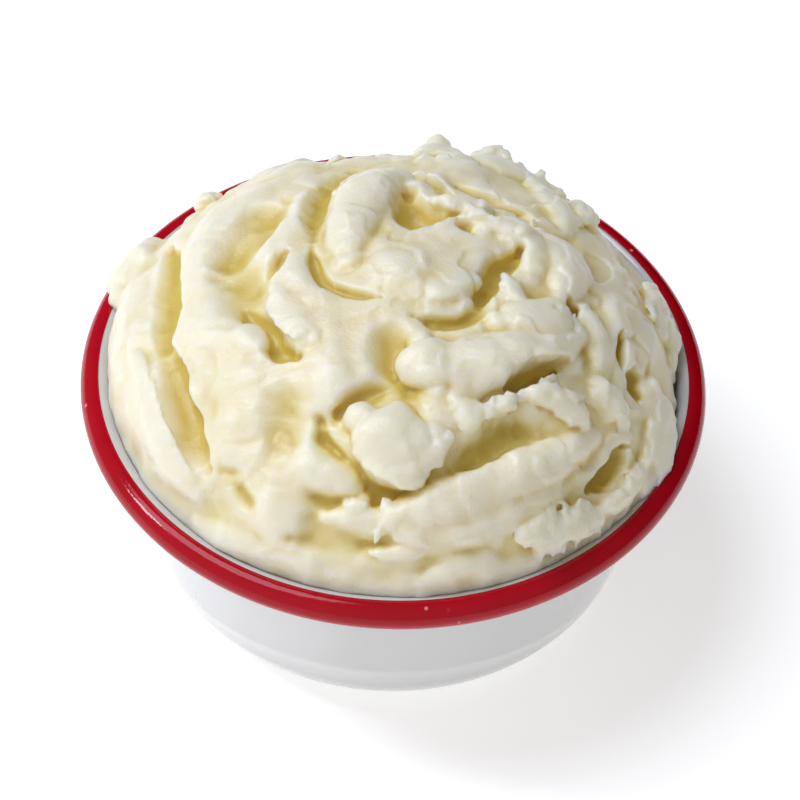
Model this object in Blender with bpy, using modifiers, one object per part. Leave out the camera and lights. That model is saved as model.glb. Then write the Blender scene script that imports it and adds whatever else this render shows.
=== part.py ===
"""A white enamelled steel bowl with a rolled red rim, heaped with mashed potato.

Metres, +Z up. The origin is the centre of the bowl's flat base, on the surface it stands on.
The potato is one closed solid: a dome that folds are laid on and hollows are scooped out of,
above an underside that follows the inside of the bowl.
"""

import math
from collections import namedtuple

import bmesh
import bpy
import numpy as np

MM = 0.001

# Bowl: driving dimensions
BOWL_DIAMETER = 160 * MM
BOWL_HEIGHT = 62.4 * MM
RIM_ROLL_RADIUS = 3.9 * MM
SHEET = 1.4 * MM
WALL_LEAN = math.radians(12.2)
CORNER_RADIUS = 16 * MM
BOWL_SEGMENTS = 72

# Bowl: worked out from them
ROLL_CENTRE_R = BOWL_DIAMETER / 2 - RIM_ROLL_RADIUS
ROLL_CENTRE_Z = BOWL_HEIGHT - RIM_ROLL_RADIUS
WALL_TOP_R = ROLL_CENTRE_R - RIM_ROLL_RADIUS * math.cos(WALL_LEAN)
WALL_TOP_Z = ROLL_CENTRE_Z + RIM_ROLL_RADIUS * math.sin(WALL_LEAN)
INNER_CORNER_RADIUS = CORNER_RADIUS - SHEET

# Heap: the dome under the folds, measured from the centre of the rim's roll
DOME_RADIUS = 69.5 * MM
DOME_RISE = 44 * MM
DOME_BASE_Z = ROLL_CENTRE_Z - 3 * MM
GAP = 0.5 * MM
HEAP_TRIANGLES = 8000
PATH_STEPS = 24
FLANK_FROM = 0.9

# A stroke of the spoon. Bearings are degrees round the bowl, 270 at the front, and drops are
# degrees down the dome, 0 at its top and 90 at its edge; both run from one end of the stroke
# to the other. The rest is the stroke's flattened section: half width, half thickness and the
# height of its middle above the dome, in millimetres, its lean in degrees, up on the left of
# the direction of travel, and how far it melts into what it lies on, in millimetres.
Stroke = namedtuple("Stroke", "name bearing drop width thick lift lean melt")

FOLD, SCOOP = "fold", "scoop"

STROKES = [
    (FOLD, Stroke("back_shoulder", (60, 150), (60, 62), 11, 6, -1.5, 0, 3)),
    (FOLD, Stroke("right_shoulder", (-25, 55), (58, 60), 10, 5, -1.0, 0, 3)),
    (FOLD, Stroke("left_band", (140, 222), (47, 47), 10, 6, -0.5, 5, 2)),
    (FOLD, Stroke("left_lower_band", (196, 256), (52, 50), 11, 6, -1.0, 0, 2)),
    (FOLD, Stroke("left_smooth", (186, 262), (25, 27), 13, 7, -2.0, -5, 2)),
    (FOLD, Stroke("outer_left_wall", (150, 230), (73, 70), 9, 5.5, 1.5, 14, 1.5)),
    (SCOOP, Stroke("left_groove", (158, 197), (57, 59), 6.5, 8, 3.5, 0, 1.2)),
    (SCOOP, Stroke("left_groove_tail", (193, 226), (60, 57), 4.2, 8, 2.5, 0, 0.8)),
    (SCOOP, Stroke("upper_left_valley", (147, 177), (33, 41), 5.5, 7, 4.5, 0, 1.2)),
    (SCOOP, Stroke("hook_valley", (180, 209), (30, 34), 5, 6, 4.0, 0, 1.2)),
    (FOLD, Stroke("hook_lobe", (196, 219), (39, 37), 6, 4, 1.5, -8, 1)),
    (SCOOP, Stroke("hook_crease", (206, 232), (33, 31), 3.4, 7, 4.0, 0, 0.6)),
    (FOLD, Stroke("crown", (100, 268), (9, 9), 11, 6.5, -2.0, -8, 0.8)),
    (FOLD, Stroke("crown_front", (262, 335), (10, 11), 8, 5, 0.0, -6, 1)),
    (FOLD, Stroke("crown_lip", (98, 152), (17, 13), 8.5, 5, 1.0, -14, 0.6)),
    (FOLD, Stroke("behind_hollow", (62, 108), (28, 27), 6, 4, 0.0, 10, 1)),
    (SCOOP, Stroke("crown_hollow", (112, 56), (9, 19), 7, 8, 5.5, 0, 1.0)),
    (FOLD, Stroke("torn_shoulder", (64, 47), (18, 28), 5, 5, 1.0, 0, 0.5)),
    (FOLD, Stroke("back_lump_left", (84, 92), (44, 52), 8, 6, 0.5, 0, 0.8)),
    (FOLD, Stroke("back_lump_middle", (66, 74), (48, 58), 10, 6.5, 0.5, 0, 0.8)),
    (FOLD, Stroke("back_lump_right", (46, 57), (52, 62), 9, 6, 0.0, 0, 0.8)),
    (SCOOP, Stroke("back_valley", (64, 43), (32, 41), 3.8, 6, 3.0, 0, 0.8)),
    (FOLD, Stroke("right_mass", (44, 0), (27, 36), 11, 7, -0.5, 8, 0.8)),
    (SCOOP, Stroke("right_pit", (43, 27), (18, 22), 3.6, 7, 3.5, 0, 0.6)),
    (SCOOP, Stroke("right_mass_valley", (18, 2), (19, 26), 4.2, 7, 5.0, 0, 1)),
    (FOLD, Stroke("crown_crumbs", (348, 316), (14, 14), 4, 3.5, 2.0, 0, 0.5)),
    (SCOOP, Stroke("crown_crease", (298, 352), (17, 21), 4, 7, 4.0, 0, 0.6)),
    (SCOOP, Stroke("middle_valley", (272, 268), (20, 37), 6, 7, 4.0, 0, 1.5)),
    (SCOOP, Stroke("soft_valley", (239, 242), (31, 47), 5, 6, 4.0, 0, 2)),
    (FOLD, Stroke("right_lobe", (318, 347), (26, 37), 9, 6.5, 1.0, -10, 0.5)),
    (FOLD, Stroke("middle_lobe", (274, 313), (27, 28), 9.5, 6.5, 1.0, -10, 0.6)),
    (SCOOP, Stroke("front_moat", (251, 290), (52, 56), 4, 7, 3.5, 0, 0.8)),
    (FOLD, Stroke("front_lobe", (258, 288), (42, 44), 8.5, 6.5, 1.5, -12, 0.4)),
    (FOLD, Stroke("front_band", (258, 332), (63, 53), 7.5, 5, 1.0, 8, 1.2)),
    (FOLD, Stroke("rib_near", (337, 342), (41, 56), 4, 5, 1.5, 0, 0.8)),
    (FOLD, Stroke("rib_far", (352, 353), (46, 62), 5, 5, 1.0, 0, 0.8)),
    (SCOOP, Stroke("rib_slot", (346, 348), (44, 60), 2.6, 7, 3.5, 0, 0.5)),
    (FOLD, Stroke("left_front_lobe", (226, 247), (70, 67), 8, 5, 0.5, -6, 1)),
    (FOLD, Stroke("left_front_tongue", (247, 252), (60, 79), 6, 5, 1.0, 0, 0.6)),
    (FOLD, Stroke("front_flake", (256, 283), (65, 64), 6, 3.6, 1.4, -10, 0.5)),
    (FOLD, Stroke("skirt", (215, 330), (84, 82), 8, 5.5, -1.5, 0, 1.5)),
    (SCOOP, Stroke("skirt_crease", (250, 300), (73, 73), 2.8, 5, 3.5, 0, 1)),
    (FOLD, Stroke("skirt_lobe", (278, 292), (80, 83), 6, 5, 0.5, -8, 0.6)),
    (FOLD, Stroke("right_front_flake", (299, 315), (73, 76), 6.5, 3.6, 2.4, -16, 0.4)),
    (SCOOP, Stroke("right_front_pit", (322, 331), (64, 62), 4, 7, 3.0, 0, 0.8)),
    (FOLD, Stroke("right_front_ridge", (317, 333), (75, 71), 3.6, 3.4, 2.1, 0, 0.5)),
    (FOLD, Stroke("right_overflow", (328, 350), (82, 76), 8.5, 6, 1.5, 0, 1)),
    (FOLD, Stroke("far_right_lobe", (-4, 12), (74, 78), 8, 5, 2.5, 0, 0.8)),
    (FOLD, Stroke("left_overhang", (158, 180), (76, 80), 9, 6, 2.0, 0, 1)),
    (FOLD, Stroke("back_skirt", (20, 160), (78, 78), 8, 5, -1.0, 0, 2)),
]


def clear_scene():
    for old in list(bpy.data.objects):
        bpy.data.objects.remove(old, do_unlink=True)


def enamel(name, colour, roughness):
    """Fired enamel: an opaque glassy coat."""
    material = bpy.data.materials.new(name)
    material.use_nodes = True
    shader = material.node_tree.nodes["Principled BSDF"]
    shader.inputs["Base Color"].default_value = (*colour, 1)
    shader.inputs["Roughness"].default_value = roughness
    shader.inputs["Metallic"].default_value = 0
    shader.inputs["Coat Weight"].default_value = 0.5
    return material


def potato_material():
    """Soft, matt, pale yellow food."""
    material = bpy.data.materials.new("mashed_potato")
    material.use_nodes = True
    shader = material.node_tree.nodes["Principled BSDF"]
    shader.inputs["Base Color"].default_value = (0.86, 0.80, 0.56, 1)
    shader.inputs["Roughness"].default_value = 0.5
    shader.inputs["Metallic"].default_value = 0
    shader.inputs["Subsurface Weight"].default_value = 0.6
    return material


def arc(centre_r, centre_z, radius, start, end, steps):
    """Points (r, z) along an arc, angles from straight out."""
    return [
        (centre_r + radius * math.cos(a), centre_z + radius * math.sin(a))
        for a in (start + (end - start) * k / steps for k in range(steps + 1))
    ]


def wall_corner(radius, floor_z, wall_r, wall_z):
    """Centre (r, z) of the arc that joins the floor to the leaning wall through (wall_r, wall_z)."""
    centre_z = floor_z + radius
    touch_z = centre_z - radius * math.sin(WALL_LEAN)
    touch_r = wall_r - (wall_z - touch_z) * math.tan(WALL_LEAN)
    return touch_r - radius * math.cos(WALL_LEAN), centre_z


def inner_outline(offset=0.0, steps=6):
    """(r, z) from the middle of the bowl's floor up its inside to the roll, moved in by offset."""
    radius = INNER_CORNER_RADIUS - offset
    floor_z = SHEET + offset
    wall_r = WALL_TOP_R - offset / math.cos(WALL_LEAN)
    centre_r, centre_z = wall_corner(radius, floor_z, wall_r, WALL_TOP_Z)
    corner = arc(centre_r, centre_z, radius, -math.pi / 2, -WALL_LEAN, steps)
    return [(0.0, floor_z), *corner, (wall_r, WALL_TOP_Z)]


def outer_outline(steps=7):
    """(r, z) from the roll down the bowl's outside to the middle of its base."""
    wall_r = WALL_TOP_R + SHEET / math.cos(WALL_LEAN)
    centre_r, centre_z = wall_corner(CORNER_RADIUS, 0.0, wall_r, WALL_TOP_Z)
    corner = arc(centre_r, centre_z, CORNER_RADIUS, -WALL_LEAN, -math.pi / 2, steps)
    return [*corner, (0.0, 0.0)]


def roll_outline(steps=15):
    """(r, z) over the rolled edge, from the wall's inside round to where it meets the outside."""
    across = RIM_ROLL_RADIUS * math.cos(WALL_LEAN) - SHEET / math.cos(WALL_LEAN)
    end = -math.pi + math.acos(across / RIM_ROLL_RADIUS) - WALL_LEAN / 2
    return arc(
        ROLL_CENTRE_R, ROLL_CENTRE_Z, RIM_ROLL_RADIUS, math.pi - WALL_LEAN, end, steps
    )


def build_bowl(collection):
    """The bowl, turned in one piece from the section of its sheet and rolled edge."""
    outline = [*inner_outline()[:-1], *roll_outline(), *outer_outline()]
    mesh = bpy.data.meshes.new("bowl")
    mesh.from_pydata(
        [(r, 0, z) for r, z in outline], [(k, k + 1) for k in range(len(outline) - 1)], []
    )
    bowl = bpy.data.objects.new("bowl", mesh)
    collection.objects.link(bowl)
    screw = bowl.modifiers.new("turned", "SCREW")
    screw.steps = screw.render_steps = BOWL_SEGMENTS
    screw.use_merge_vertices = True
    screw.merge_threshold = 0.00001
    screw.use_smooth_shade = True
    mesh.materials.append(enamel("white_enamel", (0.83, 0.85, 0.86), 0.12))
    return bowl


def dome(bearing, drop):
    """Points on the dome and their outward normals, from bearings and drops in radians."""
    out = np.stack([np.cos(bearing), np.sin(bearing), np.zeros_like(bearing)], -1)
    up = np.array([0.0, 0.0, 1.0])
    sine, cosine = np.sin(drop)[:, None], np.cos(drop)[:, None]
    points = DOME_RADIUS * sine * out + (DOME_BASE_Z + DOME_RISE * cosine) * up
    normals = sine * out / DOME_RADIUS + cosine * up / DOME_RISE
    return points, normals / np.linalg.norm(normals, axis=1, keepdims=True)


def along_stroke(points, stroke):
    """For points on the dome: how far along the stroke, how far to its left, and how far past its ends."""
    share = np.linspace(0, 1, PATH_STEPS)
    bearing = np.radians(stroke.bearing[0] + (stroke.bearing[1] - stroke.bearing[0]) * share)
    drop = np.radians(stroke.drop[0] + (stroke.drop[1] - stroke.drop[0]) * share)
    path, normals = dome(bearing, drop)
    heading = np.gradient(path, axis=0)
    step = np.linalg.norm(heading, axis=1, keepdims=True)
    heading = heading / step
    left = np.cross(normals, heading)
    nearest = ((points[:, None] - path[None]) ** 2).sum(2).argmin(1)
    offset = points - path[nearest]
    ahead = (offset * heading[nearest]).sum(1)
    aside = (offset * left[nearest]).sum(1)
    place = np.clip((nearest + ahead / step[nearest, 0]) / (PATH_STEPS - 1), 0, 1)
    past = np.where(nearest == 0, -ahead, np.where(nearest == PATH_STEPS - 1, ahead, 0))
    return place, aside, np.maximum(past, 0)


def flank(distance):
    """A round hump's height: 1 in its middle, and falling on steeply past its edge at 1."""
    knee = np.minimum(np.abs(distance), FLANK_FROM)
    top = np.sqrt(1 - knee**2)
    return top - (np.abs(distance) - knee) * FLANK_FROM / math.sqrt(1 - FLANK_FROM**2)


def stroke_heights(stroke, points, sign):
    """Height above the dome of the stroke's top (sign 1) or of the bottom it scoops (sign -1)."""
    place, aside, past = along_stroke(points, stroke)
    taper = np.maximum(np.sqrt(1 - np.abs(2 * place - 1) ** 3), 0.35)
    width = stroke.width * MM * taper
    thick = stroke.thick * MM * taper
    lean = aside * math.tan(math.radians(stroke.lean))
    return stroke.lift * MM + lean + sign * thick * flank(np.hypot(aside, past) / width)


def melted(height, other, melt, sign):
    """The higher (sign 1) or lower (sign -1) of two heights, rounded off where they meet."""
    share = np.clip(0.5 + sign * 0.5 * (height - other) / melt, 0, 1)
    return other + (height - other) * share + sign * melt * share * (1 - share)


def ripple(points, wavelength, seed, waves=9):
    """A smooth uneven field of about unit size, from seeded plane waves."""
    draw = np.random.default_rng(seed)
    directions = draw.normal(size=(waves, 3))
    directions /= np.linalg.norm(directions, axis=1, keepdims=True)
    pitch = 2 * math.pi / wavelength * draw.uniform(0.7, 1.4, waves)
    phase = draw.uniform(0, 2 * math.pi, waves)
    return np.cos(points @ (directions * pitch[:, None]).T + phase).sum(1) / math.sqrt(waves / 2)


def heap_heights(points):
    """Height of the potato's surface above each point of the dome."""
    heights = 0.8 * MM * ripple(points, 26 * MM, seed=3)
    for kind, stroke in STROKES:
        sign = 1 if kind == FOLD else -1
        face = stroke_heights(stroke, points, sign)
        heights = melted(face, heights, stroke.melt * MM, sign)
    return heights + 0.35 * MM * ripple(points, 9 * MM, seed=5)


def clear_of_bowl(points):
    """Pulls points in to stay clear of the bowl's inside and of its rolled edge."""
    outline = np.array(inner_outline(GAP, steps=24))
    radius = np.hypot(points[:, 0], points[:, 1])
    over = points[:, 2] - ROLL_CENTRE_Z
    wall = np.interp(points[:, 2], outline[1:, 1], outline[1:, 0])
    clear = RIM_ROLL_RADIUS + GAP
    roll = ROLL_CENTRE_R - np.sqrt(np.maximum(clear**2 - over**2, 0))
    limit = np.where(over < 0, np.minimum(wall, roll), np.where(over < clear, roll, np.inf))
    shrink = np.minimum(1, limit / np.maximum(radius, 1e-9))
    return points * np.stack([shrink, shrink, np.ones_like(shrink)], 1)


def underside(bearing, share):
    """Points from the dome's edge (share 0) down the bowl's inside to its floor's middle (share 1)."""
    wall = np.array(inner_outline(GAP, steps=24))[::-1]
    start = np.interp(DOME_RADIUS, wall[::-1][1:, 0], wall[::-1][1:, 1])
    below = wall[wall[:, 1] < start]
    outline = np.vstack([[DOME_RADIUS, DOME_BASE_Z], [DOME_RADIUS, start], below])
    length = np.r_[0, np.cumsum(np.linalg.norm(np.diff(outline, axis=0), axis=1))]
    radius = np.interp(share * length[-1], length, outline[:, 0])
    z = np.interp(share * length[-1], length, outline[:, 1])
    return np.stack([radius * np.cos(bearing), radius * np.sin(bearing), z], -1)


def build_heap(collection):
    """The potato: an even sphere whose upper half becomes the folded dome and lower half the underside."""
    shape = bmesh.new()
    bmesh.ops.create_icosphere(shape, subdivisions=7, radius=1)
    sphere = np.array([v.co for v in shape.verts])
    bearing = np.arctan2(sphere[:, 1], sphere[:, 0])
    drop = np.arccos(np.clip(sphere[:, 2], -1, 1))
    above, normals = dome(bearing, np.minimum(drop, math.pi / 2))
    fade = np.clip((math.radians(100) - drop) / math.radians(10), 0, 1)
    heights = heap_heights(above)
    top = above + normals * heights[:, None]
    bottom = underside(bearing, np.clip(drop / (math.pi / 2) - 1, 0, 1))
    bottom += normals * (heights * fade)[:, None]
    points = clear_of_bowl(np.where((drop < math.pi / 2)[:, None], top, bottom))
    for vertex, point in zip(shape.verts, points):
        vertex.co = point
    mesh = bpy.data.meshes.new("mashed_potato")
    shape.to_mesh(mesh)
    shape.free()
    mesh.shade_smooth()
    mesh.materials.append(potato_material())
    heap = bpy.data.objects.new("mashed_potato", mesh)
    collection.objects.link(heap)
    thinned = heap.modifiers.new("thinned", "DECIMATE")
    thinned.ratio = HEAP_TRIANGLES / len(mesh.polygons)
    return heap


def main():
    clear_scene()
    collection = bpy.data.collections.new("mashed_potato_bowl")
    bpy.context.scene.collection.children.link(collection)
    build_bowl(collection)
    build_heap(collection)


main()
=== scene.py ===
"""Looks of the mashed potato in its enamel bowl.

The bowl is turned again at a fine step, with its red roll as a coat over the white.
The potato is worked out as a signed distance field: strokes of the spoon are laid on a dome
or scooped out of it, each melting a little into what is under it, and the surface is then
meshed. Lengths in the heap's own section are millimetres; everything else is in metres.
"""

import math
from collections import namedtuple

import bmesh
import bpy
import numpy as np
from mathutils import Matrix, Vector

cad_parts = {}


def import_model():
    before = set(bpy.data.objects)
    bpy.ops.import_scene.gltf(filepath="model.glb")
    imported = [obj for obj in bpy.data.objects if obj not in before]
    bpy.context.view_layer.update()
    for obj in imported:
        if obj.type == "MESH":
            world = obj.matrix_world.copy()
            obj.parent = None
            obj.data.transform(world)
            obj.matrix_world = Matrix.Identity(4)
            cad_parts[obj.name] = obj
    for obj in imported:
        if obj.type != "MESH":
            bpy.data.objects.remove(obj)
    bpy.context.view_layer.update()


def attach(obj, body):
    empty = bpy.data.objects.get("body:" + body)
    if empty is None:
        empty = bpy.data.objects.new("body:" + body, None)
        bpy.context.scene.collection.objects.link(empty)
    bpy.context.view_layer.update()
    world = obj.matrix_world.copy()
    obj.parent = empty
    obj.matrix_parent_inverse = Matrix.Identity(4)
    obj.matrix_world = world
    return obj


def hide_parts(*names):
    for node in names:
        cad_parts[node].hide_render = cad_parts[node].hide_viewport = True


MM = 0.001

# Bowl: the same driving sizes as the solid's
BOWL_DIAMETER = 160 * MM
BOWL_HEIGHT = 62.4 * MM
RIM_ROLL_RADIUS = 3.9 * MM
SHEET = 1.4 * MM
WALL_LEAN = math.radians(12.2)
CORNER_RADIUS = 16 * MM
BOWL_STEPS = 256

# Red enamel: a thin coat on the roll, from an angle on its inner side, counted from straight out,
# to a little past where the wall's outside runs into it
RED_COAT = 0.12 * MM
RED_FROM = math.radians(100)
RED_PAST_END = math.radians(8)
RED_STEPS = 44

ROLL_CENTRE_R = BOWL_DIAMETER / 2 - RIM_ROLL_RADIUS
ROLL_CENTRE_Z = BOWL_HEIGHT - RIM_ROLL_RADIUS
WALL_TOP_R = ROLL_CENTRE_R - RIM_ROLL_RADIUS * math.cos(WALL_LEAN)
WALL_TOP_Z = ROLL_CENTRE_Z + RIM_ROLL_RADIUS * math.sin(WALL_LEAN)
INNER_CORNER_RADIUS = CORNER_RADIUS - SHEET

# Camera: looks down at the middle of the rim, which falls on its pixel of the photograph
CAMERA_DISTANCE = 0.9
CAMERA_ELEVATION = math.radians(48.05)
CAMERA_ROLL = math.radians(2.42)
LENS_MM = 157.9
SENSOR_MM = 36.0
FRAME_PIXELS = 800
RIM_CENTRE_PIXEL = (392.8, 379.3)

# Light: a large soft key, a smaller lamp that gives the roll its streak, and a dim surround. Its
# slope says how its brightness rises along X, Y and Z
LIGHT_AIM = (0, 0, 0.05)
LIGHT_COLOUR = (0.94, 0.995, 1.13)
KEY_PLACE = (-0.52, 0.18, 1.42)
KEY_SIZE = 0.9
KEY_WATTS = 9.7
GLINT_PLACE = (-0.95, 0.11, 1.02)
GLINT_SIZE = 0.28
GLINT_WATTS = 4.6
SURROUND_LEVEL = 0.27
SURROUND_COLOUR = (1.0, 0.985, 0.955, 1)
SURROUND_SLOPE = (-0.18, -0.30, 0.05)
TABLE_GLOW = 0.46

# Heap, in millimetres: the dome that the strokes lie on, the step along a stroke's middle line,
# how little of its section a stroke keeps at its ends, as a share, and the heap's gap to the bowl
DOME_RADIUS = 73.0
DOME_RISE = 47.0
DOME_BASE_Z = ROLL_CENTRE_Z / MM - 3
PATH_STEP = 1.5
LEAST_TAPER = 0.45
WALL_GAP = 0.05

# Grid of the distance field, in millimetres: the strokes are worked out in a band about the dome,
# coarsely at first and then again at full fineness near the surface that this finds
VOXEL = 0.52
FIELD_FLOOR = ROLL_CENTRE_Z / MM - 14
CUT_FLOOR = FIELD_FLOOR + 1.5 * VOXEL
BAND_INSIDE = 12.0
BAND_OUTSIDE = 8.0
NEAR_SURFACE = 2.0
TRIANGLE_LIMIT = 195000
CELL_CORNERS = [(a, b, c) for a in (0, 1) for b in (0, 1) for c in (0, 1)]

# Underside of the heap: how many rings lead down the bowl's wall, and where its corner starts, in
# millimetres
UNDERSIDE_RINGS = 6
CORNER_TOP = SHEET / MM + 14

# Torn potato: the way across the table in which it gets more ragged, where that starts and over how
# many millimetres, how torn it is at least; then where along its rise a thin layer breaks off, as a
# share, and the layers' mean height
TORN_TOWARDS = (0.8, 0.6)
TORN_FROM = -32.0
TORN_OVER = 62.0
TORN_LEAST = 0.12
LAYER_BREAK = 0.84
LAYER_MEAN = 0.45

# Colour of the potato, with painted shade that makes it yellower and darker in creases and valleys
# and
# the deeper it lies: how far round a point its creases and valleys are looked for, and the height
# above the rim over which its depth comes to count, in millimetres; then how much each counts
CREASE_REACH = 3.4
VALLEY_REACH = 9.0
DEPTH_FADE = 8.0
CREASE_SHADE_SHARE = 0.55
VALLEY_SHADE_SHARE = 0.84
DEPTH_SHADE_SHARE = 0.032
UNEVEN_SHARE = 0.06

# Kinds of stroke: a round-edged mass, a mass with a crisp edge, and potato scooped away
LOBE, PLATE, SCOOP = "lobe", "plate", "scoop"

# A stroke of the spoon. Bearings are degrees round the bowl, 270 at the front, and drops are
# degrees down the dome, 0 at its top and 90 at its edge; both are given at a few places along
# the stroke's middle line. The rest is its flattened section: half width, half thickness and
# the height of its middle above the dome, in millimetres, its lean in degrees, up on the left
# of the direction of travel, how far it melts into what it lies on, in millimetres, how ragged
# its edges are, as a share of its width, and how much of its width it loses along its way.
Stroke = namedtuple(
    "Stroke", "kind name bearing drop width thick lift lean melt ragged point", defaults=(0.15, 0)
)

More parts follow.
